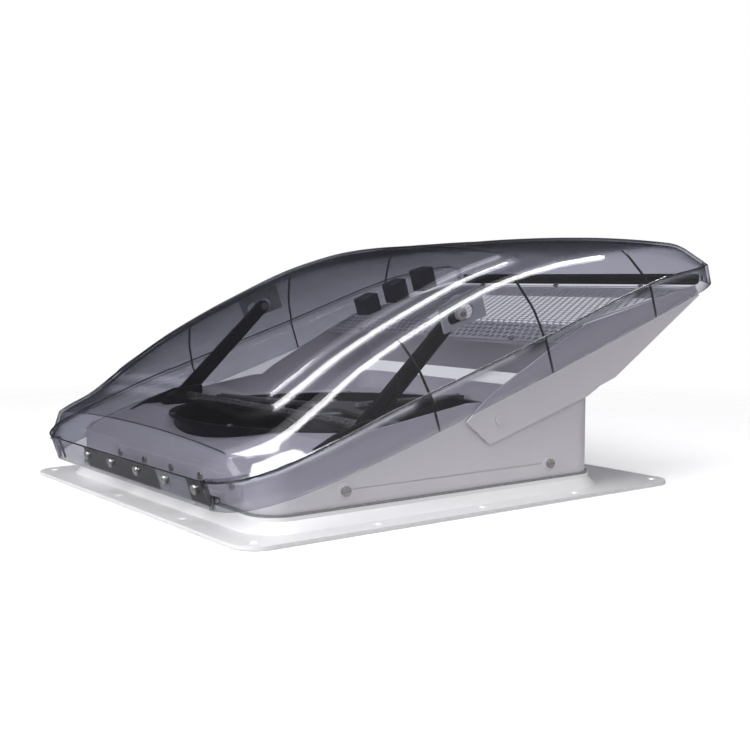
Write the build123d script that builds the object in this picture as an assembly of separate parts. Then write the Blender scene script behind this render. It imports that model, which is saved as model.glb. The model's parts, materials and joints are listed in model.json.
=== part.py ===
from build123d import *
import os
from math import cos, sin, pi, radians

# A powered roof vent for a caravan or motorhome, standing open on its roof flange. Millimetres.
# Frame: origin at the centre of the flange's corner screws, on its underside. +X points to the
# rear, where the lid is raised, and +Z up. The lid, its hinge strips and its tracks are drawn
# closed and then turned open about the lid hinge. The hood is drawn closed and turned open
# about its own pivots. The rest pose is the open one.

# ---- driving dimensions -------------------------------------------------------------------
FLANGE_LENGTH, FLANGE_WIDTH, FLANGE_THICK, FLANGE_CORNER = 466, 420, 3, 22
SCREW_HOLE_R, SCREW_SINK_R = 2.4, 4.2
CORNER_HOLE = (218, 194)          # the four corner screws, from the centre
SIDE_HOLE_Y, SIDE_HOLE_PITCH = 198, 109
END_HOLE_X, END_HOLE_YS = 222, (-90, 32)

HOUSING_X = -20                   # middle of the housing over the roof opening
HOUSING_HALF, WALL, HOUSING_CORNER = 178, 2.5, 24
COLLAR_HALF, COLLAR_WALL, COLLAR_TOP = 175.2, 3.2, 40
CURB_HALF, CURB_TOP, SEAL_THICK = 181, 14, 2
DECK_TOP, DECK_THICK = 66, 2.5
SIDE_SCREW_XS, SIDE_SCREW_Z = (-126, 97), 28

FAN_X, FAN_HOLE_R, SHROUD_WALL = -12, 150, 3
FAN_R, FAN_BLADES, FAN_PITCH = 145, 10, 30
MOTOR_R = 38

LID_HINGE_X, LID_HINGE_Z, LID_OPEN = -221, 26, 17.8
LID_X, LID_Z = -229.5, 22.4       # lower front corner of the closed lid
LID_WALL = 3
HINGE_SCREW_YS, HINGE_SCREW_RISE = [73 - 51.5 * i for i in range(5)], 11.5

HOOD_X, HOOD_Z, HOOD_OPEN = 33, 73, 29
HOOD_IN, HOOD_OUT = 180, 182      # faces of the hood's cheeks
HOOD_PIN_R = 4

SHAFT_X, SHAFT_Z, SHAFT_R = -93, 74, 4
ARM_LENGTH, ARM_CLOSED, ARM_SWING = 131, 6.1, 36.7
ARM_Y, ARM_THICK, ARM_HALF = 156, 6, 7
ROLLER_R, TRACK_SLACK = 5, 1.1

GEAR_MODULE, SECTOR_TEETH, PINION_TEETH = 1, 44, 12
GEAR_Y, GEAR_WIDE, MESH_ANGLE, MESH_SLACK = 146, 6, 235, 0.25

SIDES = (-1, 1)
Y_AXIS = Vector(0, 1, 0)


# ---- helpers ------------------------------------------------------------------------------
def block(x0, x1, y0, y1, z0, z1):
    """A box from its low and high corners."""
    middle = Pos((x0 + x1) / 2, (y0 + y1) / 2, (z0 + z1) / 2)
    return middle * Box(abs(x1 - x0), abs(y1 - y0), abs(z1 - z0))


def slab(points, y0, y1):
    """A flat plate with its outline in the XZ plane, from y0 to y1."""
    outline = Polyline(*[(x, y0, z) for x, z in points], close=True)
    return extrude(make_face(outline), amount=y1 - y0, dir=Y_AXIS)


def rod(x, z, r, y0, y1):
    """A round bar along Y."""
    return Pos(x, (y0 + y1) / 2, z) * Rot(90, 0, 0) * Cylinder(r, abs(y1 - y0))


def post(x, y, r, z0, z1):
    """A round bar along Z."""
    return Pos(x, y, (z0 + z1) / 2) * Cylinder(r, z1 - z0)


def peg(y, z, r, x0, x1):
    """A round bar along X."""
    return Pos((x0 + x1) / 2, y, z) * Rot(0, 90, 0) * Cylinder(r, x1 - x0)


def prism(half, corner, z0, z1):
    """A square block with rounded corners, centred over the roof opening."""
    return Pos(HOUSING_X, 0, z0) * extrude(RectangleRounded(2 * half, 2 * half, corner), z1 - z0)


def sided(y0, y1, side):
    """Two distances from the middle plane as low and high y on one side of it."""
    return (y0, y1) if side > 0 else (-y1, -y0)


def turned(shape, x, z, degrees):
    """The shape turned about an axis along Y; a positive turn lowers its rear end."""
    return shape.rotate(Axis((x, 0, z), (0, 1, 0)), degrees)


def open_lid(shape):
    return turned(shape, LID_HINGE_X, LID_HINGE_Z, -LID_OPEN)


def open_hood(shape):
    return turned(shape, HOOD_X, HOOD_Z, -HOOD_OPEN)


def fuse(parts):
    whole = parts[0]
    for part in parts[1:]:
        whole = whole + part
    return whole


def save(name, shape):
    """One STEP file for one node; a group of fasteners is written as separate solids."""
    solids = list(shape.solids()) if hasattr(shape, "solids") else list(shape)
    export_step(Compound(children=solids) if len(solids) > 1 else solids[0], f"parts/{name}.step")


def save_group(name, shapes):
    solids = [solid for shape in shapes for solid in shape.solids()]
    export_step(Compound(children=solids), f"parts/{name}.step")


# ---- roof flange and housing --------------------------------------------------------------
def flange_holes():
    holes = [(sx * CORNER_HOLE[0], sy * CORNER_HOLE[1]) for sx in SIDES for sy in SIDES]
    holes += [(i * SIDE_HOLE_PITCH, s * SIDE_HOLE_Y) for i in (-1, 0, 1) for s in SIDES]
    holes += [(s * END_HOLE_X, y) for s in SIDES for y in END_HOLE_YS]
    return holes


def roof_flange():
    plate = extrude(RectangleRounded(FLANGE_LENGTH, FLANGE_WIDTH, FLANGE_CORNER), FLANGE_THICK)
    foot = Pos(HOUSING_X, 0, FLANGE_THICK) * extrude(
        RectangleRounded(2 * CURB_HALF + 16, 2 * CURB_HALF + 16, 35), 8, taper=45)
    curb = prism(CURB_HALF, 27, 0, CURB_TOP)
    collar = prism(COLLAR_HALF, HOUSING_CORNER - WALL, 0, COLLAR_TOP)
    opening = prism(COLLAR_HALF - COLLAR_WALL, 18, -1, COLLAR_TOP + 1)
    flange = plate + foot + curb + collar - opening
    for x, y in flange_holes():
        flange -= post(x, y, SCREW_HOLE_R, -1, FLANGE_THICK + 1)
        sink = SCREW_SINK_R - SCREW_HOLE_R
        flange -= Pos(x, y, FLANGE_THICK - sink / 2 + 0.005) * Cone(
            SCREW_HOLE_R, SCREW_SINK_R, sink + 0.01)
    for x in SIDE_SCREW_XS:
        for side in SIDES:
            flange -= rod(x, SIDE_SCREW_Z, 2.1, *sided(168, COLLAR_HALF + 1, side))
    return flange


def curb_seal():
    return prism(CURB_HALF - 1, 26, CURB_TOP, CURB_TOP + SEAL_THICK) - prism(
        COLLAR_HALF + 0.3, HOUSING_CORNER - WALL, CURB_TOP - 1, CURB_TOP + SEAL_THICK + 1)


FRONT, REAR = HOUSING_X - HOUSING_HALF, HOUSING_X + HOUSING_HALF
WALL_TOPS = [(FRONT, 46), (-133, 68), (2, 88), (REAR, 86)]
DECK_LINE = [(FRONT, 44), (-133, DECK_TOP), (REAR, DECK_TOP)]


def base_housing():
    bottom = CURB_TOP + SEAL_THICK
    inner = HOUSING_HALF - WALL
    walls = prism(HOUSING_HALF, HOUSING_CORNER, bottom, 100)
    walls &= slab(WALL_TOPS + [(REAR, bottom), (FRONT, bottom)], -200, 200)
    core = prism(inner, HOUSING_CORNER - WALL, 0, 120)
    below = [(x, z - DECK_THICK) for x, z in DECK_LINE] + [(REAR, 0), (FRONT, 0)]
    above = DECK_LINE + [(REAR, 119), (FRONT, 119)]
    body = walls - (core & slab(below, -200, 200)) - (core & slab(above, -200, 200))
    body -= post(FAN_X, 0, FAN_HOLE_R + SHROUD_WALL + 0.2, 20, 110)
    body -= block(SHAFT_X - 28, SHAFT_X + 12, 144.5, 153.5, 50, 80)
    for side in SIDES:
        for x in SIDE_SCREW_XS:
            body -= rod(x, SIDE_SCREW_Z, 2.1, *sided(168, 190, side))
        body -= rod(HOOD_X, HOOD_Z, HOOD_PIN_R + 0.01, *sided(168, 190, side))
        groove = sided(HOUSING_HALF - 0.8, HOUSING_HALF + 1, side)
        body -= block(SIDE_SCREW_XS[0] + 8, SIDE_SCREW_XS[1] - 8, *groove, SIDE_SCREW_Z, SIDE_SCREW_Z + 1.2)
    for y in HINGE_SCREW_YS:
        body -= peg(y, 34, 1.6, FRONT - 1, FRONT + 5)
    return body


def side_screws():
    screws = []
    for side in SIDES:
        for x in SIDE_SCREW_XS:
            head = rod(x, SIDE_SCREW_Z, 4.2, *sided(179.2, 181.8, side))
            head -= block(x - 3, x + 3, *sided(181, 182, side), SIDE_SCREW_Z - 0.5, SIDE_SCREW_Z + 0.5)
            screws.append(head + rod(x, SIDE_SCREW_Z, 2, *sided(170, 180, side)))
    return screws


def side_washers():
    return [rod(x, SIDE_SCREW_Z, 6.5, *sided(178, 179.2, side))
            - rod(x, SIDE_SCREW_Z, 2.2, *sided(177, 180, side))
            for side in SIDES for x in SIDE_SCREW_XS]


# ---- fan ----------------------------------------------------------------------------------
LIP_TOP, SPIDER_Z, SPIDER_THICK = DECK_TOP + 2, 69, 3
MOTOR_Z0, MOTOR_Z1 = 46, SPIDER_Z
SCREW_RING = 154.5                # radius of the screws through the shroud's lip
LIP_ANGLES, LEG_ANGLES, MOTOR_ANGLES = (50, 160, 200, 310), (0, 105, 255), (0, 120, 240)


def around_fan(shape, angle):
    return Pos(FAN_X, 0, 0) * Rot(0, 0, angle) * shape


def fan_shroud():
    tube = post(0, 0, FAN_HOLE_R + SHROUD_WALL, 28, DECK_TOP)
    lip = post(0, 0, 157.5, DECK_TOP, LIP_TOP)
    shroud = around_fan(tube + lip - post(0, 0, FAN_HOLE_R, 20, 80), 0)
    for angle in LIP_ANGLES + LEG_ANGLES:
        shroud -= around_fan(post(SCREW_RING, 0, 1.3, 60, 75), angle)
    return shroud


def lip_screw(seat):
    """A small pan head on a seat, with a shank that ends inside the shroud's lip."""
    return post(SCREW_RING, 0, 2.4, seat, seat + 1.6) + post(SCREW_RING, 0, 1.2, DECK_TOP + 0.2, seat)


def shroud_screws():
    return [around_fan(lip_screw(LIP_TOP), angle) for angle in LIP_ANGLES]


def bracket_screws():
    return [around_fan(lip_screw(SPIDER_Z + SPIDER_THICK), angle) for angle in LEG_ANGLES]


def motor_bracket():
    """A plate over the motor with three flat legs that end on the shroud's lip."""
    top = SPIDER_Z + SPIDER_THICK
    parts = [around_fan(post(0, 0, MOTOR_R - 6, SPIDER_Z, top), 0)]
    for angle in LEG_ANGLES:
        parts.append(around_fan(block(20, 157, -7, 7, SPIDER_Z, top), angle))
        parts.append(around_fan(block(151, 157, -7, 7, LIP_TOP, SPIDER_Z + 1), angle))
    spider = fuse(parts)
    for angle in MOTOR_ANGLES:
        spider -= around_fan(post(24, 0, 2.1, 60, 80), angle + 60)
    for angle in LEG_ANGLES:
        spider -= around_fan(post(SCREW_RING, 0, 1.3, 60, 80), angle)
    return spider


def fan_motor():
    can = post(FAN_X, 0, MOTOR_R, MOTOR_Z0, MOTOR_Z1)
    can = fillet(can.edges().filter_by(GeomType.CIRCLE), 3)
    boss = post(FAN_X, 0, 10, MOTOR_Z0 - 3, MOTOR_Z0 + 1)
    motor = can + boss - post(FAN_X, 0, 4.05, MOTOR_Z0 - 5, MOTOR_Z0 + 14)
    for angle in MOTOR_ANGLES:
        motor -= around_fan(post(24, 0, 1.5, MOTOR_Z1 - 6, MOTOR_Z1 + 1), angle + 60)
    return motor


def motor_screws():
    top = SPIDER_Z + SPIDER_THICK
    screw = post(24, 0, 3.5, top, top + 2) + post(24, 0, 1.45, MOTOR_Z1 - 5.5, top)
    return [around_fan(screw, angle + 60) for angle in MOTOR_ANGLES]


def fan_impeller():
    """A cupped hub with ten pitched blades that widen towards their tips."""
    hub = post(FAN_X, 0, 34, 28, 42) - post(FAN_X, 0, 31, 30, 43)
    hub += post(FAN_X, 0, 8, 28, 40)
    blade = Polyline((32, -13, 0), (FAN_R, -26, 0), (FAN_R, 26, 0), (32, 13, 0), close=True)
    flat = Pos(0, 0, -1) * extrude(make_face(blade), 2)
    swept = Pos(0, 0, 36) * Rot(FAN_PITCH, 0, 0) * flat
    swept &= post(0, 0, FAN_R - 1.5, 29, 43)
    swept -= post(0, 0, 32.5, 20, 60)
    blades = [Pos(FAN_X, 0, 0) * Rot(0, 0, i * 360 / FAN_BLADES) * swept for i in range(FAN_BLADES)]
    return fuse([hub] + blades) - post(FAN_X, 0, 4, 20, 50)


def fan_shaft():
    return post(FAN_X, 0, 4, 22, MOTOR_Z0 + 12)


def fan_nut():
    hexagon = extrude(RegularPolygon(7, 6), 5)
    return Pos(FAN_X, 0, 23) * (hexagon - Pos(0, 0, 2.5) * Cylinder(4, 8))


# ---- screen under the fan -----------------------------------------------------------------
def screen_frame():
    return prism(169, 16, 15, 20) - prism(155, 8, 10, 30)


def insect_screen():
    """A flat woven screen, drawn as a thin sheet on its frame."""
    return prism(160, 10, 20, 20.8)


def screen_clips():
    clips = []
    for sx in SIDES:
        for sy in SIDES:
            x = HOUSING_X + sx * 110
            y0, y1 = sided(160, 172, sy)
            clips.append(block(x - 8, x + 8, y0, y1, 11, 15))
    return clips


# ---- lid ----------------------------------------------------------------------------------
# Stations along the closed lid, from its front face: distance, half width, bottom edge, top of
# the upright rim, the crease above it, the shoulder, and the crown on the middle plane.
LID_STATIONS = [
    (0, 152, 0.0, 18, 24.5, 24.8, 25),
    (3, 165, -0.1, 19, 25, 28.5, 30),
    (8, 175, -0.3, 20, 26, 34, 37.5),
    (18, 186.5, -0.6, 21, 28, 43, 50),
    (45, 199, -1.5, 22, 28, 43, 57),
    (95, 205, -3.2, 26, 37, 54, 70),
    (145, 206, -4.2, 28, 44, 67, 80),
    (220, 206, -4.5, 28, 51, 78, 90),
    (300, 206, -4.5, 28, 54, 84, 96),
    (370, 206, -4.0, 29, 51, 79, 95),
    (420, 206, -3.2, 30, 46, 71, 85),
    (470, 206, -2.0, 29, 38, 61, 72),
    (525, 205, -0.8, 22, 29, 48, 58),
    (550, 198, -0.2, 19, 24, 35, 48),
    (558, 184, 0.0, 14, 18, 24, 33),
]
CREASE_IN, SHOULDER_IN, CROWN_Y, CROWN_SHARE = 7, 24, 0.55, 0.78


def lid_section(x, station, inset):
    """One cross-section of the lid, or of its hollow when inset is the wall."""
    _, half, low, rim, crease, shoulder, crown = station
    w = half - inset
    edge = low if inset == 0 else low - 5
    side = [(w, edge), (w, rim - inset), (w - CREASE_IN, crease - inset),
            (w - SHOULDER_IN, shoulder - inset),
            (w * CROWN_Y, shoulder + CROWN_SHARE * (crown - shoulder) - inset)]
    points = side + [(0, crown - inset)] + [(-y, z) for y, z in reversed(side)]
    return make_face(Polyline(*[(LID_X + x, y, LID_Z + z) for y, z in points], close=True))


def lid_solid(inset):
    last = LID_STATIONS[-1][0]
    sections = []
    for station in LID_STATIONS:
        x = station[0] + inset * (1 - 2 * station[0] / last)
        sections.append(lid_section(x, station, inset))
    return loft(sections, ruled=True)


def smoke_lid(hollow):
    shell = lid_solid(0) - hollow
    for y in HINGE_SCREW_YS:
        shell -= peg(y, LID_HINGE_Z + HINGE_SCREW_RISE, 1.7, LID_X - 3, LID_X + 6)
    return shell


def lid_blocks(hollow):
    """Three square blocks in a row under the crown."""
    return [block(LID_X + x - 8, LID_X + x + 8, -74, -58, LID_Z + 72, LID_Z + 110) & hollow
            for x in (242, 276, 310)]


def rear_trim():
    """A dark drip strip along the lid's rear edge, with a stepped lower lip."""
    profile = [(LID_X + 553.2, LID_Z - 3), (LID_X + 558.5, LID_Z - 3), (LID_X + 561.5, LID_Z + 2),
               (LID_X + 561.5, LID_Z + 6), (LID_X + 558.1, LID_Z + 6), (LID_X + 558.1, LID_Z - 0.2),
               (LID_X + 553.2, LID_Z - 0.2)]
    return slab(profile, -176, 176)


# ---- lid hinge ----------------------------------------------------------------------------
STRIP_X0, STRIP_X1 = LID_X + LID_WALL + 0.02, LID_X + LID_WALL + 1.9
KNUCKLE_R, KNUCKLE_PIN_R = 3, 1.5
HINGE_YS = (-146, 85)
GREY_YS = (-115, -62)             # the pale block that carries the fourth screw
KNUCKLES = 9


def knuckle_spans(first):
    """Every second slot along the hinge, 0.5 clear of its neighbours."""
    low, high = HINGE_YS
    pitch = (high - low) / KNUCKLES
    return [(low + i * pitch + 0.25, low + (i + 1) * pitch - 0.25) for i in range(first, KNUCKLES, 2)]


def strip(y0, y1):
    """A stretch of the lid's side of the hinge, with the knuckles that fall inside it."""
    parts = [block(STRIP_X0, STRIP_X1, y0, y1, LID_HINGE_Z - 2.5, LID_HINGE_Z + 16.5)]
    for a, b in knuckle_spans(0):
        a, b = max(a, y0), min(b, y1)
        if b - a > 3:
            parts.append(block(STRIP_X0 + 0.5, LID_HINGE_X, a, b, LID_HINGE_Z - 2, LID_HINGE_Z + 2))
            parts.append(rod(LID_HINGE_X, LID_HINGE_Z, KNUCKLE_R, a, b))
    leaf = fuse(parts) - rod(LID_HINGE_X, LID_HINGE_Z, KNUCKLE_PIN_R + 0.05, -160, 100)
    for y in HINGE_SCREW_YS:
        if y0 < y < y1:
            leaf -= peg(y, LID_HINGE_Z + HINGE_SCREW_RISE, 1.7, LID_X, LID_X + 8)
    return leaf


def hinge_screws():
    """Pan heads on the lid's front face, with shanks through the wall and the strip."""
    z = LID_HINGE_Z + HINGE_SCREW_RISE
    return [peg(y, z, 4, LID_X - 1.8, LID_X) - peg(y, z, 1.6, LID_X - 2, LID_X - 1)
            + peg(y, z, 1.6, LID_X, LID_X + 6) for y in HINGE_SCREW_YS]


def hinge_base_leaf():
    low, high = HINGE_YS
    foot = block(FRONT - 2.2, FRONT, low, high, LID_HINGE_Z - 2, LID_HINGE_Z + 14)
    parts = [foot]
    for a, b in knuckle_spans(1):
        parts.append(block(LID_HINGE_X, FRONT - 1, a, b, LID_HINGE_Z - 2, LID_HINGE_Z + 0.5))
        parts.append(rod(LID_HINGE_X, LID_HINGE_Z, KNUCKLE_R, a, b))
    leaf = fuse(parts) - rod(LID_HINGE_X, LID_HINGE_Z, KNUCKLE_PIN_R, -160, 100)
    for y in HINGE_SCREW_YS:
        leaf -= peg(y, 34, 1.6, FRONT - 4, FRONT + 1)
    return leaf


def hinge_pin():
    return rod(LID_HINGE_X, LID_HINGE_Z, KNUCKLE_PIN_R, HINGE_YS[0] - 1, HINGE_YS[1] + 1)


def base_leaf_screws():
    return [peg(y, 34, 3.2, FRONT - 4, FRONT - 2.2) + peg(y, 34, 1.5, FRONT - 2.2, FRONT + WALL)
            for y in HINGE_SCREW_YS]


# ---- hood ---------------------------------------------------------------------------------
# Outline of a cheek on the closed hood, in x and z from the hood's pivot.
CHEEK = [(-32, 17), (-19, -13.6), (102, -41.6), (120, -42), (141, -46), (282, -38.6),
         (280.7, -26.6), (131.5, 16.8), (91.5, 20.2), (9.5, 22.8), (-12, 21.4)]
SCREEN_LINE = [(91.5, 20.5), (131.5, 18), (278.5, -27)]
SCREEN_THICK = 1.6
APRON_X = (127.8, 130)


def hood_points(points):
    return [(HOOD_X + x, HOOD_Z + z) for x, z in points]


def hood_frame():
    """Two cheeks joined by the apron behind the housing, a front bar and a rear bar."""
    cheeks = [slab(hood_points(CHEEK), *sided(HOOD_IN, HOOD_OUT, side)) for side in SIDES]
    span = (-HOOD_IN, HOOD_IN)
    under = SCREEN_THICK + 0.02
    apron = slab(hood_points([(APRON_X[0], -43), (APRON_X[1], -43), (APRON_X[1], 18 - under - 0.2),
                              (APRON_X[0], 18.1 - under)]), *span)
    front = slab(hood_points([(91.5, 20.5 - under), (97.5, 20 - under), (97.5, 16.6), (91.5, 16.6)]), *span)
    rear = slab(hood_points([(270, -24.7 - under), (278.5, -27.2 - under), (278.5, -36), (270, -36)]), *span)
    frame = fuse(cheeks + [apron, front, rear])
    for side in SIDES:
        frame -= rod(HOOD_X, HOOD_Z, HOOD_PIN_R + 0.06, *sided(170, 190, side))
    for x, y in screen_screw_places():
        frame -= post(x, y, 1.3, 20, 110)
    return frame


def screen_screw_places():
    return [(HOOD_X + x, y) for x in (94.5, 274) for y in (-120, 0, 120)]


def hood_screen():
    """The perforated sheet between the cheeks, with slots standing for its fine holes."""
    top = SCREEN_LINE
    bottom = [(x, z - SCREEN_THICK) for x, z in reversed(SCREEN_LINE)]
    sheet = slab(hood_points(top + bottom), -HOOD_IN + 0.2, HOOD_IN - 0.2)
    for i in range(8):
        for j in range(6):
            x, y = HOOD_X + 146 + 16 * i, -150 + 60 * j
            sheet -= block(x - 4, x + 4, y - 25, y + 25, 20, 110)
    for x, y in screen_screw_places():
        sheet -= post(x, y, 1.5, 20, 110)
    return sheet


def hood_screws():
    screws = []
    for x, y in screen_screw_places():
        z = HOOD_Z + (20.4 if x < HOOD_X + 100 else -24.7)
        screws.append(post(x, y, 3, z + 0.4, z + 1.8) + post(x, y, 1.2, z - 4, z + 0.4))
    return screws


def hood_pins():
    pins = []
    for side in SIDES:
        inner = rod(HOOD_X, HOOD_Z, 7, *sided(173.3, 175.5, side))
        shank = rod(HOOD_X, HOOD_Z, HOOD_PIN_R, *sided(175, 183, side))
        head = rod(HOOD_X, HOOD_Z, 5, *sided(182.4, 183.6, side))
        pins.append(inner + shank + head)
    return pins


def pivot_washers():
    return [rod(HOOD_X, HOOD_Z, 9, *sided(178, 179.8, side))
            - rod(HOOD_X, HOOD_Z, HOOD_PIN_R + 0.1, *sided(177, 181, side)) for side in SIDES]


# ---- lift gear ----------------------------------------------------------------------------
ARM_OPEN = ARM_CLOSED + ARM_SWING
TIP_X = SHAFT_X + ARM_LENGTH * cos(radians(ARM_OPEN))
TIP_Z = SHAFT_Z + ARM_LENGTH * sin(radians(ARM_OPEN))
PINION_GAP = GEAR_MODULE * (SECTOR_TEETH + PINION_TEETH) / 2 + MESH_SLACK
PINION_X = SHAFT_X + PINION_GAP * cos(radians(MESH_ANGLE))
PINION_Z = SHAFT_Z + PINION_GAP * sin(radians(MESH_ANGLE))


def lift_arm(side):
    """A flat arm, drawn along +X from the shaft and then raised to its open angle."""
    low, high = sided(ARM_Y, ARM_Y + ARM_THICK, side)
    arm = slab([(SHAFT_X, SHAFT_Z - ARM_HALF), (SHAFT_X + ARM_LENGTH, SHAFT_Z - ARM_HALF + 1),
                (SHAFT_X + ARM_LENGTH, SHAFT_Z + ARM_HALF - 1), (SHAFT_X, SHAFT_Z + ARM_HALF)], low, high)
    arm += rod(SHAFT_X, SHAFT_Z, ARM_HALF, low, high)
    arm += rod(SHAFT_X + ARM_LENGTH, SHAFT_Z, ARM_HALF - 1, low, high)
    arm -= rod(SHAFT_X, SHAFT_Z, SHAFT_R, low - 1, high + 1)
    arm -= rod(SHAFT_X + ARM_LENGTH, SHAFT_Z, 2.5, low - 1, high + 1)
    for start in (18, 48, 78):
        arm -= block(SHAFT_X + start, SHAFT_X + start + 24, *sided(ARM_Y + 3.5, ARM_Y + 8, side),
                     SHAFT_Z - 4, SHAFT_Z + 4)
    return turned(arm, SHAFT_X, SHAFT_Z, -ARM_OPEN)


def arm_rollers():
    return [rod(TIP_X, TIP_Z, ROLLER_R, *sided(163, 168, side)) - rod(TIP_X, TIP_Z, 2.5, -170, 170)
            for side in SIDES]


def roller_pins():
    return [rod(TIP_X, TIP_Z, 2.5, *sided(ARM_Y, 169, side))
            + rod(TIP_X, TIP_Z, 4, *sided(ARM_Y - 1.5, ARM_Y, side)) for side in SIDES]


def lift_shaft():
    return rod(SHAFT_X, SHAFT_Z, SHAFT_R, -171, 171)


def teeth(count, first, last, root_inside):
    """The outline of gear teeth about the origin, from tooth first to tooth last."""
    pitch_r = GEAR_MODULE * count / 2
    step = 2 * pi / count
    points = []
    for i in range(first, last + 1):
        a = i * step
        for r, half in ((pitch_r - 1.2 * GEAR_MODULE, 0.33), (pitch_r, 0.235),
                        (pitch_r + 0.9 * GEAR_MODULE, 0.12)):
            points.append((r, a - half * step))
        for r, half in ((pitch_r + 0.9 * GEAR_MODULE, 0.12), (pitch_r, 0.235),
                        (pitch_r - 1.2 * GEAR_MODULE, 0.33)):
            points.append((r, a + half * step))
    if root_inside:
        points.append((root_inside, last * step + 0.3 * step))
        points.append((root_inside, first * step - 0.3 * step))
    return [(r * cos(a), r * sin(a)) for r, a in points]


def sector_gear():
    """Teeth over the swing of the arms, on a hub fixed to the lift shaft."""
    outline = [(SHAFT_X + x, SHAFT_Z + z) for x, z in teeth(SECTOR_TEETH, -1, 6, 4.5)]
    gear = slab(outline, GEAR_Y, GEAR_Y + GEAR_WIDE)
    gear = turned(gear, SHAFT_X, SHAFT_Z, -MESH_ANGLE)
    return gear + rod(SHAFT_X, SHAFT_Z, 6.2, GEAR_Y, GEAR_Y + GEAR_WIDE) - rod(
        SHAFT_X, SHAFT_Z, SHAFT_R, GEAR_Y - 1, GEAR_Y + GEAR_WIDE + 1)


def drive_pinion():
    """Twelve teeth and a stub shaft; a gap faces the sector's tooth on the line of centres."""
    outline = [(PINION_X + x, PINION_Z + z) for x, z in teeth(PINION_TEETH, 0, PINION_TEETH - 1, 0)]
    gear = slab(outline, GEAR_Y, GEAR_Y + GEAR_WIDE)
    gear = turned(gear, PINION_X, PINION_Z, -(MESH_ANGLE + 180 + 180 / PINION_TEETH))
    return gear + rod(PINION_X, PINION_Z, 2.5, GEAR_Y - 9, GEAR_Y + 0.5)


def gear_motor():
    """The sealed worm gearbox under the deck with its motor can in front."""
    box = block(PINION_X - 24, PINION_X + 14, 132, 144.4, 24, 62)
    can = peg(138.2, 35, 11, PINION_X - 70, PINION_X - 23)
    return box + can - rod(PINION_X, PINION_Z, 2.55, 136.5, 150)


def gear_cover():
    """A black cover over the sector on the deck, open underneath."""
    outline = [(-119, DECK_TOP), (-119, 73), (-103, 81.2), (-79, 84), (-79, DECK_TOP)]
    hollow = [(-117.5, DECK_TOP - 1), (-117.5, 72), (-102.5, 79.8), (-80.5, 82.6), (-80.5, DECK_TOP - 1)]
    cover = slab(outline, 143, 155) - slab(hollow, 144.5, 153.5)
    return cover - rod(SHAFT_X, SHAFT_Z, SHAFT_R + 0.5, 140, 160)


def shaft_bearing(side):
    """A black triangular plate on the deck that carries one end of the lift shaft."""
    low, high = sided(165, 169.5, side)
    foot = sided(165, 175.3, side)
    slope = (DECK_LINE[1][1] - DECK_LINE[0][1]) / (DECK_LINE[1][0] - DECK_LINE[0][0])
    outline = [(-148, DECK_TOP - 15 * slope), (-133, DECK_TOP), (-82, DECK_TOP), (-80, 72), (-88, 80),
               (-98, 80), (-128, 70.5)]
    plate = slab(outline, low, high) + block(-130, -84, *foot, DECK_TOP, DECK_TOP + 2)
    return plate - rod(SHAFT_X, SHAFT_Z, SHAFT_R + 0.05, low - 1, high + 1)


def control_box():
    case = block(-184, -142, -168, -128, 22, 38)
    return fillet(case.edges().filter_by(Axis.Z), 3)


# Where the roller sits in its track, on the closed lid.
def closed_tip():
    a = radians(LID_OPEN)
    x, z = TIP_X - LID_HINGE_X, TIP_Z - LID_HINGE_Z
    return LID_HINGE_X + x * cos(a) + z * sin(a), LID_HINGE_Z - x * sin(a) + z * cos(a)


def arm_track(side, hollow):
    """A slotted plate that hangs from the lid's underside, with a flange against the skin."""
    x, z = closed_tip()
    low, high = sided(164, 167, side)
    plate = block(x - 22, x + 26, low, high, z - 10, z + 40)
    half = ROLLER_R + TRACK_SLACK
    plate -= block(x - 10, x + 8, low - 1, high + 1, z - half, z + half)
    plate -= rod(x - 10, z, half, low - 1, high + 1) + rod(x + 8, z, half, low - 1, high + 1)
    return plate & hollow


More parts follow.
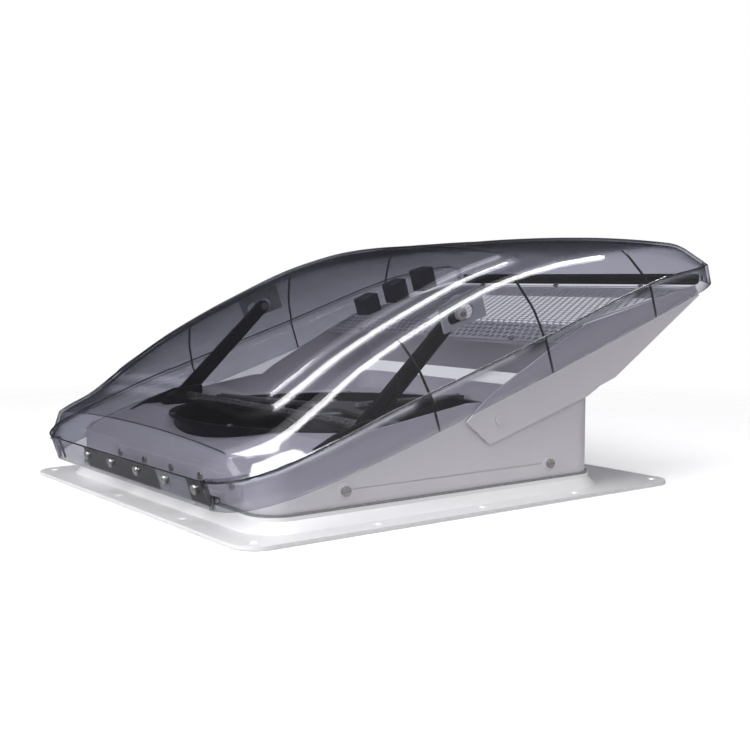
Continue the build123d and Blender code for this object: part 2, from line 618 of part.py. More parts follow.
# ---- write every node ---------------------------------------------------------------------
def main():
    os.makedirs("parts", exist_ok=True)
    save("roof_flange", roof_flange())
    save("curb_seal", curb_seal())
    save("base_housing", base_housing())
    save_group("side_screws", side_screws())
    save_group("side_washers", side_washers())

    save("fan_shroud", fan_shroud())
    save_group("shroud_screws", shroud_screws())
    save_group("bracket_screws", bracket_screws())
    save("motor_bracket", motor_bracket())
    save("fan_motor", fan_motor())
    save_group("motor_screws", motor_screws())
    save("fan_impeller", fan_impeller())
    save("fan_shaft", fan_shaft())
    save("fan_nut", fan_nut())

    save("screen_frame", screen_frame())
    save("insect_screen", insect_screen())
    save_group("screen_clips", screen_clips())

    hollow = lid_solid(LID_WALL)
    save("smoke_lid", open_lid(smoke_lid(hollow)))
    save_group("lid_blocks", [open_lid(piece) for piece in lid_blocks(hollow)])
    save("rear_trim", open_lid(rear_trim()))
    save("hinge_strip_long", open_lid(strip(GREY_YS[1], HINGE_YS[1])))
    save("hinge_strip_pale", open_lid(strip(GREY_YS[0], GREY_YS[1])))
    save("hinge_strip_short", open_lid(strip(HINGE_YS[0], GREY_YS[0])))
    save_group("hinge_screws", [open_lid(screw) for screw in hinge_screws()])
    save("hinge_base_leaf", hinge_base_leaf())
    save("hinge_pin", hinge_pin())
    save_group("base_leaf_screws", base_leaf_screws())

    save("hood_frame", open_hood(hood_frame()))
    save("hood_screen", open_hood(hood_screen()))
    save_group("hood_screws", [open_hood(screw) for screw in hood_screws()])
    save_group("hood_pins", hood_pins())
    save_group("pivot_washers", pivot_washers())

    save("lift_shaft", lift_shaft())
    save_group("arm_rollers", arm_rollers())
    save_group("roller_pins", roller_pins())
    save("sector_gear", sector_gear())
    save("drive_pinion", drive_pinion())
    save("gear_motor", gear_motor())
    save("gear_cover", gear_cover())
    save("control_box", control_box())
    for side, name in ((-1, "near"), (1, "far")):
        save(f"lift_arm_{name}", lift_arm(side))
        save(f"shaft_bearing_{name}", shaft_bearing(side))
        save(f"arm_track_{name}", open_lid(arm_track(side, hollow)))


main()
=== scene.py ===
"""The looks of a powered roof vent with a smoke-tinted lid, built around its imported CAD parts."""

import json
import math

import bpy
import numpy as np
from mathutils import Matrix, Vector

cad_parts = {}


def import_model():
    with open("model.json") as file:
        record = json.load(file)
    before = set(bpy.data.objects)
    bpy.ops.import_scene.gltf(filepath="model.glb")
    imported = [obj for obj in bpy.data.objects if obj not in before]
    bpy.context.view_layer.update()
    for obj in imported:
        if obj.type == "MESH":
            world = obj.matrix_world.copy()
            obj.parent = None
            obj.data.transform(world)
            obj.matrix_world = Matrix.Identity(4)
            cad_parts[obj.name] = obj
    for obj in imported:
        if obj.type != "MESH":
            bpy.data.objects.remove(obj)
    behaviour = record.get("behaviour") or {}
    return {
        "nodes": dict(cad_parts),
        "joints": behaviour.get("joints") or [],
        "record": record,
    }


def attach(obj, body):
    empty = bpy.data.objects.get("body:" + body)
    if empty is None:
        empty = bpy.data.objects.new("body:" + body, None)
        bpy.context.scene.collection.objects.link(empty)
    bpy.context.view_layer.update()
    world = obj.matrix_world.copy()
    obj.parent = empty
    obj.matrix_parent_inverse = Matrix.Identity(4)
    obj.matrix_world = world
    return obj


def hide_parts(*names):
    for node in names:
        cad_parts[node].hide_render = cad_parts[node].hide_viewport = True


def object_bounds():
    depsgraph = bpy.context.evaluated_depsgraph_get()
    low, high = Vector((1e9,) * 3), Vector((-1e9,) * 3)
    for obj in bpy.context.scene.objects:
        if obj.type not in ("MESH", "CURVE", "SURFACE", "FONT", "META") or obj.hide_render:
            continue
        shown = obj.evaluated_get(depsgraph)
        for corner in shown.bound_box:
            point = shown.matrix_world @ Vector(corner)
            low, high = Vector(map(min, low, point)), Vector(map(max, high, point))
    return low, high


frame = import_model()
cad_low, cad_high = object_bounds()

NODES = frame["nodes"]
JOINTS = {joint["name"]: joint for joint in frame["joints"]}
MM = 0.001
SIDES = (-1, 1)


# ---- materials --------------------------------------------------------------------------
class Tree:
    """A short way to write one material's nodes."""

    def __init__(self, name):
        self.material = bpy.data.materials.new(name)
        self.material.use_nodes = True
        self.tree = self.material.node_tree
        self.tree.nodes.clear()
        self.output = self.add("OutputMaterial")
        self.place = self.add("TexCoord").outputs["Object"]

    def add(self, kind, inputs=None, **settings):
        node = self.tree.nodes.new("ShaderNode" + kind)
        for key, value in settings.items():
            setattr(node, key, value)
        for key, value in (inputs or {}).items():
            self.set(node.inputs[key], value)
        return node

    def set(self, socket, value):
        if isinstance(value, bpy.types.NodeSocket):
            self.tree.links.new(value, socket)
        else:
            socket.default_value = value

    def noise(self, scale, detail=2.0, rough=0.5):
        inputs = {"Vector": self.place, "Scale": scale, "Detail": detail, "Roughness": rough}
        return self.add("TexNoise", inputs).outputs["Fac"]

    def remap(self, value, low, high, start=0.3, end=0.7):
        inputs = {"Value": value, "From Min": start, "From Max": end, "To Min": low, "To Max": high}
        return self.add("MapRange", inputs).outputs["Result"]

    def math(self, operation, first, second=0.0):
        return self.add("Math", {0: first, 1: second}, operation=operation).outputs[0]

    def mix_colour(self, share, first, second):
        node = self.add("Mix", data_type="RGBA")
        self.set(node.inputs[0], share)
        self.set(node.inputs[6], first)
        self.set(node.inputs[7], second)
        return node.outputs[2]

    def mix(self, share, first, second):
        node = self.add("MixShader")
        self.set(node.inputs[0], share)
        self.set(node.inputs[1], first)
        self.set(node.inputs[2], second)
        return node.outputs[0]

    def bump(self, height, depth):
        return self.add("Bump", {"Height": height, "Strength": 1.0, "Distance": depth}).outputs[0]

    def show(self, shader):
        self.tree.links.new(shader, self.output.inputs["Surface"])
        return self.material


def shade(colour, factor=1.0):
    return (*[channel * factor for channel in colour], 1.0)


def plastic(name, colour, rough, grain, depth, variety, shine=0.5):
    """Moulded plastic: a fine grain, faint flow marks in its colour and an uneven shine."""
    t = Tree(name)
    marks = t.remap(t.noise(14, 3), 0, 1)
    tone = t.mix_colour(marks, shade(colour, 1 - variety), shade(colour, 1 + variety / 2))
    uneven = t.remap(t.noise(55, 4), rough * 0.85, rough * 1.2)
    surface = t.add("BsdfPrincipled", {
        "Base Color": tone, "Roughness": uneven, "Normal": t.bump(t.noise(grain, 2), depth),
        "IOR": 1.49, "Specular IOR Level": shine})
    return t.show(surface.outputs[0])


def metal(name, colour, rough):
    """Plated metal with fine turned marks and slightly dull patches."""
    scratch = 700
    t = Tree(name)
    dull = t.remap(t.noise(120, 4), 0, 1)
    tone = t.mix_colour(dull, shade(colour), shade(colour, 0.8))
    uneven = t.remap(t.noise(scratch, 3), rough * 0.7, rough * 1.5)
    surface = t.add("BsdfPrincipled", {
        "Base Color": tone, "Metallic": 1.0, "Roughness": uneven,
        "Normal": t.bump(t.noise(scratch * 2), 0.00002)})
    return t.show(surface.outputs[0])


def painted(name, colour, rough):
    """Powder coat: a fine orange-peel surface."""
    t = Tree(name)
    peel = t.noise(480, 3, 0.6)
    tone = t.mix_colour(t.remap(t.noise(40, 3), 0, 1), shade(colour, 0.9), shade(colour, 1.08))
    surface = t.add("BsdfPrincipled", {
        "Base Color": tone, "Roughness": t.remap(peel, rough * 0.8, rough * 1.15),
        "Normal": t.bump(peel, 0.00006)})
    return t.show(surface.outputs[0])


def foam(name, colour):
    """Closed-cell foam, with its cells cut open on the surface."""
    t = Tree(name)
    cells = t.add("TexVoronoi", {"Vector": t.place, "Scale": 900}).outputs["Distance"]
    tone = t.mix_colour(cells, shade(colour, 0.6), shade(colour, 1.4))
    surface = t.add("BsdfPrincipled", {
        "Base Color": tone, "Roughness": 0.9, "Normal": t.bump(cells, 0.0002)})
    return t.show(surface.outputs[0])


def clear_plastic(name, tint, deep, body, body_share):
    """Clear tinted plastic: light passes with a tint that deepens at a shallow angle, the surface
    mirrors more there, and a faint haze of fine scuffs stays lit. Lamps shine through it lighter."""
    lamp_tint, gloss_rough = (0.93, 0.93, 0.94), 0.035
    deepening, mirror_power = 3.0, 5.0
    mirror_least, mirror_most = 0.022, 0.8
    t = Tree(name)
    facing = t.add("LayerWeight", {"Blend": 0.5}).outputs["Facing"]
    lighting = t.add("LightPath").outputs["Is Shadow Ray"]
    thin, thick = [t.mix_colour(lighting, shade(c), shade(lamp_tint)) for c in (tint, deep)]
    passing = t.mix(t.math("POWER", facing, deepening),
                    t.add("BsdfTransparent", {"Color": thin}).outputs[0],
                    t.add("BsdfTransparent", {"Color": thick}).outputs[0])
    ripple = t.bump(t.noise(9, 2), 0.0001)
    haze = t.add("BsdfPrincipled", {"Base Color": shade(body), "Roughness": 0.4, "Normal": ripple})
    scuffed = t.remap(t.noise(60, 5, 0.6), body_share * 0.7, body_share * 1.3)
    shell = t.mix(scuffed, passing, haze.outputs[0])
    mirror = t.add("BsdfGlossy", {
        "Color": (1, 1, 1, 1), "Roughness": gloss_rough, "Normal": ripple})
    fresnel = t.remap(t.math("POWER", facing, mirror_power), mirror_least, mirror_most, 0.0, 1.0)
    return t.show(t.mix(fresnel, shell, mirror.outputs[0]))


def woven_screen(name, colour, pitch, wire):
    """Fine woven mesh: bars of wire both ways, open between them."""
    t = Tree(name)
    axes = t.add("SeparateXYZ", {0: t.place})
    bars = []
    for axis in ("X", "Y"):
        across = t.math("FRACT", t.math("DIVIDE", axes.outputs[axis], pitch))
        bars.append(t.math("LESS_THAN", across, wire))
    solid = t.math("MAXIMUM", *bars)
    surface = t.add("BsdfPrincipled", {
        "Base Color": shade(colour), "Roughness": 0.5, "Normal": t.bump(solid, 0.0002)})
    return t.show(t.mix(solid, t.add("BsdfTransparent").outputs[0], surface.outputs[0]))


SMOKE = clear_plastic("smoke_clear", (0.79, 0.79, 0.83), (0.22, 0.23, 0.26), (0.16, 0.16, 0.18), 0.02)
SMOKE_EDGE = clear_plastic("smoke_thick", (0.16, 0.16, 0.18), (0.05, 0.05, 0.06), (0.03, 0.03, 0.04), 0.35)

FINISHES = {
    "flange_white": plastic("flange_white", (0.86, 0.86, 0.86), 0.34, 700, 0.00002, 0.03),
    "white_plastic": plastic("white_plastic", (0.66, 0.64, 0.67), 0.42, 1100, 0.00003, 0.03),
    "screen_white": painted("screen_white", (0.50, 0.50, 0.53), 0.4),
    "screen_dark": woven_screen("screen_dark", (0.12, 0.12, 0.13), 0.0022, 0.24),
    "smoke_plastic": SMOKE,
    "pale_plastic": plastic("pale_plastic", (0.60, 0.62, 0.62), 0.25, 500, 0.00003, 0.12),
    "black_plastic": plastic("black_plastic", (0.008, 0.007, 0.007), 0.42, 800, 0.00004, 0.2, 0.15),
    "fan_grey": plastic("fan_grey", (0.05, 0.05, 0.056), 0.45, 700, 0.00004, 0.15),
    "nylon": plastic("nylon", (0.70, 0.68, 0.62), 0.4, 900, 0.00003, 0.08),
    "foam_rubber": foam("foam_rubber", (0.25, 0.25, 0.26)),
    "steel": metal("steel", (0.50, 0.49, 0.47), 0.30),
    "motor_metal": painted("motor_metal", (0.03, 0.03, 0.034), 0.4),
    "bracket_metal": painted("bracket_metal", (0.045, 0.045, 0.05), 0.45),
}
# The square blocks are the lid's own plastic, thick enough to look a solid grey.
OWN_FINISH = {"lid_blocks": plastic("block_grey", (0.10, 0.10, 0.115), 0.45, 800, 0.00004, 0.2, 0.15)}


def finish_cad_nodes():
    for part in frame["record"]["subparts"]:
        mesh = NODES[part["node"]].data
        mesh.materials.clear()
        mesh.materials.append(OWN_FINISH.get(part["node"], FINISHES[part["material_slot"]]))


# ---- mesh helpers -------------------------------------------------------------------------
def make_piece(name, points, faces, body, material, smooth_angle=40.0):
    """A mesh in the row frame that rides on a CAD body."""
    mesh = bpy.data.meshes.new(name)
    mesh.from_pydata([tuple(p) for p in points], [], [tuple(f) for f in faces])
    mesh.validate()
    mesh.polygons.foreach_set("use_smooth", [True] * len(mesh.polygons))
    mesh.set_sharp_from_angle(angle=math.radians(smooth_angle))
    mesh.materials.append(material)
    piece = bpy.data.objects.new(name, mesh)
    bpy.context.scene.collection.objects.link(piece)
    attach(piece, body)
    return piece


def grid_faces(rows, columns):
    """Four-sided faces over a grid of points that runs row by row."""
    faces = []
    for i in range(rows - 1):
        for j in range(columns - 1):
            a = i * columns + j
            faces.append((a, a + 1, a + columns + 1, a + columns))
    return faces


def joint_turn(name, points):
    """Points drawn closed, in metres, turned about a joint's axis to where they are at rest."""
    joint = JOINTS[name]
    pivot = np.array(joint["pos_m"])
    angle = -math.radians(joint["range_deg"][1])
    c, s = math.cos(angle), math.sin(angle)
    p = np.asarray(points, float) - pivot
    turned = np.stack([c * p[:, 0] + s * p[:, 2], p[:, 1], c * p[:, 2] - s * p[:, 0]], axis=1)
    return turned + pivot


def smooth_line(xs, ys, x):
    """A monotone cubic through the points (xs, ys), read at x."""
    xs, ys, x = (np.asarray(v, float) for v in (xs, ys, x))
    step = np.diff(xs)
    slope = np.diff(ys) / step
    inner = np.zeros(len(xs))
    same = slope[:-1] * slope[1:] > 0
    weight_a, weight_b = 2 * step[1:] + step[:-1], step[1:] + 2 * step[:-1]
    with np.errstate(divide="ignore", invalid="ignore"):
        harmonic = (weight_a + weight_b) / (weight_a / slope[:-1] + weight_b / slope[1:])
    inner[1:-1] = np.where(same, harmonic, 0.0)
    inner[0], inner[-1] = slope[0], slope[-1]
    i = np.clip(np.searchsorted(xs, x) - 1, 0, len(step) - 1)
    t = (x - xs[i]) / step[i]
    h00, h10 = (1 + 2 * t) * (1 - t) ** 2, t * (1 - t) ** 2
    h01, h11 = t * t * (3 - 2 * t), t * t * (t - 1)
    return h00 * ys[i] + h10 * step[i] * inner[i] + h01 * ys[i + 1] + h11 * step[i] * inner[i + 1]


def ease(value, start, end):
    """A soft step from 0 at start to 1 at end."""
    t = np.clip((value - start) / (end - start), 0, 1)
    return t * t * (3 - 2 * t)


# ---- lid ----------------------------------------------------------------------------------
# The closed lid, in millimetres: x from its front edge, y from the middle, z from its lower edge.
# Each station gives x, half width, lower edge, top of the rim, crease, shoulder and crown.
LID_ORIGIN = np.array([-229.5, 0.0, 22.4])
LID_WALL = 3.0
LID_STATIONS = np.array([
    (0, 152, 0.0, 23.0, 24.5, 24.8, 25),
    (3, 165, -0.1, 23.2, 25, 28.5, 30),
    (8, 175, -0.3, 23.4, 26, 34, 37.5),
    (18, 186.5, -0.6, 23.6, 28, 43, 50),
    (45, 199, -1.5, 24, 28, 43, 57),
    (95, 205, -3.2, 26, 37, 54, 70),
    (145, 206, -4.2, 28, 44, 67, 80),
    (220, 206, -4.5, 28, 51, 78, 90),
    (300, 206, -4.5, 28, 54, 84, 96),
    (370, 206, -4.0, 29, 51, 79, 95),
    (420, 206, -3.2, 30, 46, 71, 85),
    (470, 206, -2.0, 29, 38, 61, 72),
    (525, 205, -0.8, 22, 29, 48, 58),
    (550, 198, -0.2, 19, 24, 35, 48),
    (558, 184, 0.0, 14, 18, 24, 33),
])
LID_END = LID_STATIONS[-1, 0]
BROW_X = 18.0
# How far in from the half width the ledge above the rim, the crease and the shoulder lie, and
# how much each is rounded.
LEDGE_IN, LEDGE_UP, LEDGE_ROUND = 1.6, 0.9, 0.7
CREASE_IN, CREASE_ROUND = 7.0, 6.0
SHOULDER_IN, SHOULDER_ROUND = 24.0, 9.0
CROWN_POWER = 2.3
# The raised panel's reach, its corner radius, and its steps as start, end and rise.
PANEL_X, PANEL_HALF, PANEL_CORNER = (51.0, 372.0), 159.0, 34.0
PANEL_STEPS = ((0.0, 8.0, 3.6), (13.0, 21.0, 3.0))
# The ribs start a little inside the wall and lean inward and down.
RIB_XS, RIB_DEEP, RIB_WIDE = (185.0, 318.0, 459.0), 1.8, 1.3
RIB_SUNK, RIB_DROP, RIB_INWARD, RIB_DOWN = 0.3, 0.8, 0.85, 0.5
FRONT_RIB_YS = (-145.0, 145.0)
UP_TO_SHOULDER = 24
BEAD_RADIUS, BEAD_OFFSET, BEAD_FRONT_HALF, BEAD_SHORT = 0.75, 0.4, 148, 4


def lid_at(x):
    """Half width, lower edge, rim top, crease, shoulder and crown at x; the front face is flat up
    to its brow, where it breaks to the dome."""
    heights = range(2, 7)
    half = float(smooth_line(LID_STATIONS[:, 0], LID_STATIONS[:, 1], x))
    if x < BROW_X:
        return [half] + [float(np.interp(x, LID_STATIONS[:, 0], LID_STATIONS[:, i])) for i in heights]
    dome = LID_STATIONS[LID_STATIONS[:, 0] >= BROW_X]
    return [half] + [float(smooth_line(dome[:, 0], dome[:, i], x)) for i in heights]


def rounded(before, corner, after, radius, count):
    """Points round a corner between two straight runs."""
    before, corner, after = (np.array(p, float) for p in (before, corner, after))
    to_before, to_after = before - corner, after - corner
    start = corner + to_before * min(1, radius / np.linalg.norm(to_before))
    end = corner + to_after * min(1, radius / np.linalg.norm(to_after))
    return [(1 - t) ** 2 * start + 2 * t * (1 - t) * corner + t * t * end
            for t in np.linspace(0, 1, count)]


def panel_height(x, y):
    """How far the raised middle panel stands above the crown: it rises in two soft steps."""
    centre, half_x = sum(PANEL_X) / 2, (PANEL_X[1] - PANEL_X[0]) / 2
    qx = np.abs(x - centre) - (half_x - PANEL_CORNER)
    qy = np.abs(y) - (PANEL_HALF - PANEL_CORNER)
    past_corner = np.hypot(np.maximum(qx, 0), np.maximum(qy, 0))
    inside = PANEL_CORNER - past_corner - np.minimum(np.maximum(qx, qy), 0)
    return sum(rise * ease(inside, start, end) for start, end, rise in PANEL_STEPS)


def half_section(x):
    """The outer line of one side, as (y, z) from the lower edge up to the crown."""
    half, low, rim, crease, shoulder, crown = lid_at(x)
    reach = half - SHOULDER_IN
    edge, rim_top, ledge = (half, low), (half, rim), (half - LEDGE_IN, rim + LEDGE_UP)
    bend, corner = (half - CREASE_IN, crease), (reach, shoulder)
    top = reach - SHOULDER_ROUND
    ys = np.concatenate([np.linspace(top, top * 0.72, 40), np.linspace(top * 0.70, 0, 24)])
    dome = shoulder + (crown - shoulder) * (1 - (ys / reach) ** CROWN_POWER)
    line = [np.array(edge), np.array([half, low + (rim - low) * 0.5])]
    line += rounded(edge, rim_top, ledge, LEDGE_ROUND, 4)
    line += rounded(rim_top, ledge, bend, LEDGE_ROUND, 4)
    line += rounded(ledge, bend, corner, CREASE_ROUND, 8)
    line += rounded(bend, corner, (ys[0], dome[0]), SHOULDER_ROUND, 10)[:-1]
    return np.array(line + [np.array(p) for p in zip(ys, dome + panel_height(x, ys))])


def lid_rows():
    """Where along the lid its sections are taken: closer where it bends."""
    return np.concatenate([
        [0, 0.6, 1.5, 3, 5, 8, 11, 14, 17.4, 18, 18.8, 21, 25, 30, 36, 43],
        np.arange(50, 76, 1.3), np.arange(78, 342, 3.2), np.arange(344, 376, 1.3),
        np.arange(378, 530, 3.2), [532, 538, 543, 547, 550, 552.5, 555, 556.8, LID_END]])


def lid_points(x, line):
    """One full section from the near lower edge to the far one."""
    near = np.stack([np.full(len(line), x), -line[:, 0], line[:, 1]], axis=1)
    far = near[:-1][::-1] * [1, -1, 1]
    return np.concatenate([near, far])


def end_wall(row):
    """Rows that close one end of the lid from its end section down to its lower edge."""
    rows = []
    low = row[0, 2]
    for share in (0.75, 0.5, 0.25, 0.0):
        wall = row.copy()
        wall[:, 2] = low + (row[:, 2] - low) * share
        rows.append(wall)
    return rows


def place_lid(points):
    """Points of the closed lid, in its own millimetres, put where they are at rest."""
    return joint_turn("lid_tilt", (np.asarray(points) + LID_ORIGIN) * MM)


def smoke_shell():
    """The clear lid: one skin through its sections, given the wall's thickness."""
    sections = [lid_points(x, half_section(x)) for x in lid_rows()]
    rows = end_wall(sections[0])[::-1] + sections + end_wall(sections[-1])
    columns = len(rows[0])
    points = place_lid(np.concatenate(rows))
    faces = [f[::-1] for f in grid_faces(len(rows), columns)]
    shell = make_piece("lid_shell", points, faces, "lid", SMOKE, 50)
    weld = shell.modifiers.new("weld", "WELD")
    weld.merge_threshold = 0.00002
    wall = shell.modifiers.new("wall", "SOLIDIFY")
    wall.thickness = LID_WALL * MM
    wall.offset = -1
    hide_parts("smoke_lid")


def tube(name, path, radius, body, material):
    """A round bead along a path of points in metres."""
    curve = bpy.data.curves.new(name, "CURVE")
    curve.dimensions = "3D"
    curve.bevel_depth = radius
    curve.bevel_resolution = 2
    spline = curve.splines.new("POLY")
    spline.points.add(len(path) - 1)
    for point, place in zip(spline.points, path):
        point.co = (*place, 1)
    curve.materials.append(material)
    bead = bpy.data.objects.new(name, curve)
    bpy.context.scene.collection.objects.link(bead)
    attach(bead, body)


def parting_bead():
    """The dark line where the dome meets the upright rim, round the front and both sides."""
    end = LID_END - BEAD_SHORT
    xs = np.concatenate([[0.4, 2, 4, 7, 11, 16, 22, 30, 40], np.arange(55, end, 14), [end]])
    rim = [lid_at(x) for x in xs]
    near = [(x, -(r[0] - BEAD_OFFSET), r[2] + BEAD_OFFSET) for x, r in zip(xs, rim)]
    far = [(x, -y, z) for x, y, z in near]
    front_z = rim[0][2] + BEAD_OFFSET
    front = [(0.0, y, front_z) for y in np.linspace(-BEAD_FRONT_HALF, BEAD_FRONT_HALF, 17)]
    path = place_lid(near[::-1] + front + far)
    tube("lid_parting_line", path, BEAD_RADIUS * MM, "lid", SMOKE_EDGE)


def rib(name, outer, inward, across):
    """A thin fin on the inside of the lid: outer is its line on the wall."""
    outer, inward, across = (np.asarray(v, float) for v in (outer, inward, across))
    inner = outer + inward * RIB_DEEP
    points, faces = [], []
    for a, b in zip(outer, inner):
        points += [a - across, a + across, b + across, b - across]
    for i in range(len(outer) - 1):
        for k in range(4):
            j = (k + 1) % 4
            faces.append((4 * i + k, 4 * i + j, 4 * i + 4 + j, 4 * i + 4 + k))
    last = 4 * (len(outer) - 1)
    faces += [(3, 2, 1, 0), (last, last + 1, last + 2, last + 3)]
    make_piece(name, place_lid(points), faces, "lid", SMOKE_EDGE)


def lid_ribs():
    """Three ribs down each side wall and one upright near each end of the front wall."""
    for number, x in enumerate(RIB_XS):
        line = half_section(x)[:UP_TO_SHOULDER]
        along = np.full(len(line), x)
        for side, label in zip(SIDES, ("near", "far")):
            across = side * (line[:, 0] - LID_WALL + RIB_SUNK)
            wall = np.stack([along, across, line[:, 1] - RIB_DROP], axis=1)
            inward = (0, -side * RIB_INWARD, -RIB_DOWN)
            rib(f"lid_rib_{label}_{number + 1}", wall, inward, (RIB_WIDE / 2, 0, 0))
    _, low, _, _, _, crown = lid_at(0)
    for y, label in zip(FRONT_RIB_YS, ("near", "far")):
        wall = [(LID_WALL - RIB_SUNK, y, z) for z in np.linspace(low + 1, crown - 2, 6)]
        rib(f"lid_front_rib_{label}", wall, (1, 0, 0), (0, RIB_WIDE / 2, 0))


# ---- perforated screen of the hood --------------------------------------------------------
# The screen's line on the closed hood, from the hood's pivot, in millimetres.
SCREEN_LINE = np.array([(91.5, 20.5), (131.5, 18.0), (278.5, -27.0)])
SCREEN_HALF, SCREEN_EDGE, EDGE_LAP = 179.6, 3.0, 1.5
HOLE_PITCH, HOLE_SHARE, HOLE_SIDES = 8.4, 0.39, 6


def on_screen(u, v):
    """A place on the screen, u along its line and v across, in the row frame."""
    runs = np.linalg.norm(np.diff(SCREEN_LINE, axis=0), axis=1)
    along = np.concatenate([[0], np.cumsum(runs)])
    x, z = (np.interp(u, along, SCREEN_LINE[:, i]) for i in (0, 1))
    pivot = np.array(JOINTS["hood_tilt"]["pos_m"])
    return joint_turn("hood_tilt", np.stack([x, v, z], axis=1) * MM + pivot)


def hood_mesh():
    """The perforated sheet: a ring of faces round each hole, and a plain edge."""
    length = float(np.linalg.norm(np.diff(SCREEN_LINE, axis=0), axis=1).sum())
    row_step = HOLE_PITCH * math.sqrt(3) / 2
    cell, hole = HOLE_PITCH / math.sqrt(3), HOLE_PITCH * HOLE_SHARE
    angles = [math.radians(60 * k) for k in range(HOLE_SIDES)]
    corners = np.array([(math.sin(angle), math.cos(angle)) for angle in angles])
    flat, faces, known = [], [], {}

    def point(u, v):
        key = (round(u, 2), round(v, 2))
        if key not in known:
            known[key] = len(flat)
            flat.append((u, v))
        return known[key]

    rows = int((length - 2 * SCREEN_EDGE) / row_step)
    columns = int((2 * SCREEN_HALF - 2 * SCREEN_EDGE - HOLE_PITCH / 2) / HOLE_PITCH)
    for i in range(rows):
        u = SCREEN_EDGE + row_step * (i + 0.5)
        for j in range(columns):
            v = -SCREEN_HALF + SCREEN_EDGE + HOLE_PITCH * (j + 0.5 + 0.5 * (i % 2))
            outer = [point(u + cell * c[1], v + cell * c[0]) for c in corners]
            inner = [point(u + hole * c[1], v + hole * c[0]) for c in corners]
            for k in range(HOLE_SIDES):
                m = (k + 1) % HOLE_SIDES
                faces.append((outer[k], outer[m], inner[m], inner[k]))
    margin = SCREEN_EDGE + EDGE_LAP
    strips = [(0, margin, -SCREEN_HALF, SCREEN_HALF),
              (length - margin, length, -SCREEN_HALF, SCREEN_HALF),
              (margin, length - margin, -SCREEN_HALF, -SCREEN_HALF + margin),
              (margin, length - margin, SCREEN_HALF - margin, SCREEN_HALF)]
    bend = float(np.linalg.norm(SCREEN_LINE[1] - SCREEN_LINE[0]))
    for u0, u1, v0, v1 in strips:
        cuts = [u0, bend, u1] if u0 < bend < u1 else [u0, u1]
        for a, b in zip(cuts, cuts[1:]):
            first = len(flat)
            flat += [(a, v0), (b, v0), (b, v1), (a, v1)]
            faces.append((first, first + 1, first + 2, first + 3))
    flat = np.array(flat)
    screen = make_piece("hood_perforated_screen", on_screen(flat[:, 0], flat[:, 1]), faces, "hood",
                        FINISHES["screen_white"])
    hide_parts("hood_screen")


# ---- stage, lights and camera -------------------------------------------------------------
def floor():
    """A pale floor that fades out away from the vent."""
    t = Tree("floor")
    reach = t.add("VectorMath", {0: t.place}, operation="LENGTH").outputs["Value"]
    fade = t.remap(reach, 0.0, 1.0, 0.45, 1.1)
    seen = t.add("LightPath").outputs["Is Camera Ray"]
    tone = t.mix_colour(seen, (0.42, 0.42, 0.44, 1), (0.93, 0.93, 0.94, 1))
    paper = t.add("BsdfPrincipled", {
        "Base Color": tone, "Roughness": 0.8, "Normal": t.bump(t.noise(300, 3), 0.00005)})
    glow = t.add("Emission", {"Color": (1, 1, 1, 1), "Strength": t.math("MULTIPLY", seen, 0.32)})
    lit = t.add("AddShader", {0: paper.outputs[0], 1: glow.outputs[0]})
    material = t.show(t.mix(fade, lit.outputs[0], t.add("BsdfTransparent").outputs[0]))
    half, under = 3.0, -0.0006
    mesh = bpy.data.meshes.new("floor")
    around = ((-half, -half), (half, -half), (half, half), (-half, half))
    mesh.from_pydata([(x, y, under) for x, y in around], [], [(0, 1, 2, 3)])
    mesh.materials.append(material)
    ground = bpy.data.objects.new("floor", mesh)
    bpy.context.scene.collection.objects.link(ground)


def area_light(name, place, aim, size, power, on_surfaces=True):
    """A soft box; with on_surfaces False it shows in reflections only."""
    lamp = bpy.data.lights.new(name, "AREA")
    lamp.shape = "RECTANGLE"
    lamp.size, lamp.size_y = size
    lamp.energy = power
    light = bpy.data.objects.new(name, lamp)
    light.location = place
    light.rotation_euler = (Vector(aim) - Vector(place)).to_track_quat("-Z", "Y").to_euler()
    light.visible_diffuse = on_surfaces
    bpy.context.scene.collection.objects.link(light)


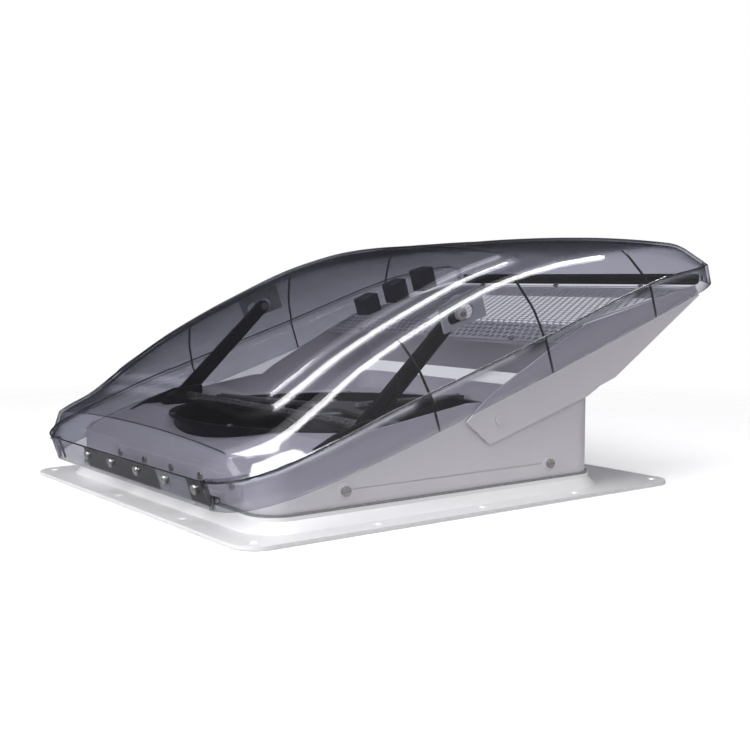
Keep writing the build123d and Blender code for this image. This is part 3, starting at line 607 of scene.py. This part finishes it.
def world():
    """White behind the object; for light and reflections, a soft grey room that darkens away from
    the viewer and overhead."""
    setting = bpy.data.worlds.new("studio")
    setting.use_nodes = True
    tree = setting.node_tree
    tree.nodes.clear()

    def add(kind, **values):
        node = tree.nodes.new("ShaderNode" + kind)
        for key, value in values.items():
            node.inputs[key].default_value = value
        return node

    place = add("TexCoord").outputs["Generated"]
    away = add("VectorMath")
    away.operation = "DOT_PRODUCT"
    away.inputs[1].default_value = (0.55, 0.75, 0.45)
    tree.links.new(place, away.inputs[0])
    ramp = add("ValToRGB")
    low, high = ramp.color_ramp.elements
    low.position, low.color = 0.0, (0.62, 0.62, 0.64, 1)
    high.position, high.color = 0.7, (0.05, 0.05, 0.06, 1)
    tree.links.new(away.outputs["Value"], ramp.inputs["Fac"])
    room = add("Background", Strength=0.8)
    tree.links.new(ramp.outputs["Color"], room.inputs["Color"])
    behind = add("Background", Color=(1, 1, 1, 1), Strength=1.0)
    mix, path, output = add("MixShader"), add("LightPath"), add("OutputWorld")
    tree.links.new(path.outputs["Is Camera Ray"], mix.inputs[0])
    tree.links.new(room.outputs[0], mix.inputs[1])
    tree.links.new(behind.outputs[0], mix.inputs[2])
    tree.links.new(mix.outputs[0], output.inputs["Surface"])
    bpy.context.scene.world = setting


def camera():
    """A low three-quarter view over the near front corner."""
    lens = bpy.data.cameras.new("camera")
    lens.lens = 54.77
    lens.sensor_width = 36
    eye = bpy.data.objects.new("camera", lens)
    eye.location = (-0.6299, -0.8981, 0.1946)
    eye.rotation_euler = (math.radians(85.06), 0, math.radians(-36.53))
    bpy.context.scene.collection.objects.link(eye)
    bpy.context.scene.camera = eye


finish_cad_nodes()
smoke_shell()
parting_bead()
lid_ribs()
hood_mesh()
floor()
middle = (cad_low + cad_high) / 2
area_light("overhead_soft", (0.0, -0.1, 1.4), middle, (1.6, 1.2), 12)
area_light("near_soft", (-0.8, -1.4, 1.0), middle, (1.0, 0.8), 4)
area_light("front_fill", (-1.7, -0.3, 0.7), middle, (0.9, 1.2), 19)
area_light("rail_strip", (0.12, -0.30, 1.3), (0.12, -0.15, 0.1), (1.9, 0.40), 60, False)
world()
camera()
bpy.context.scene.view_settings.view_transform = "Standard"
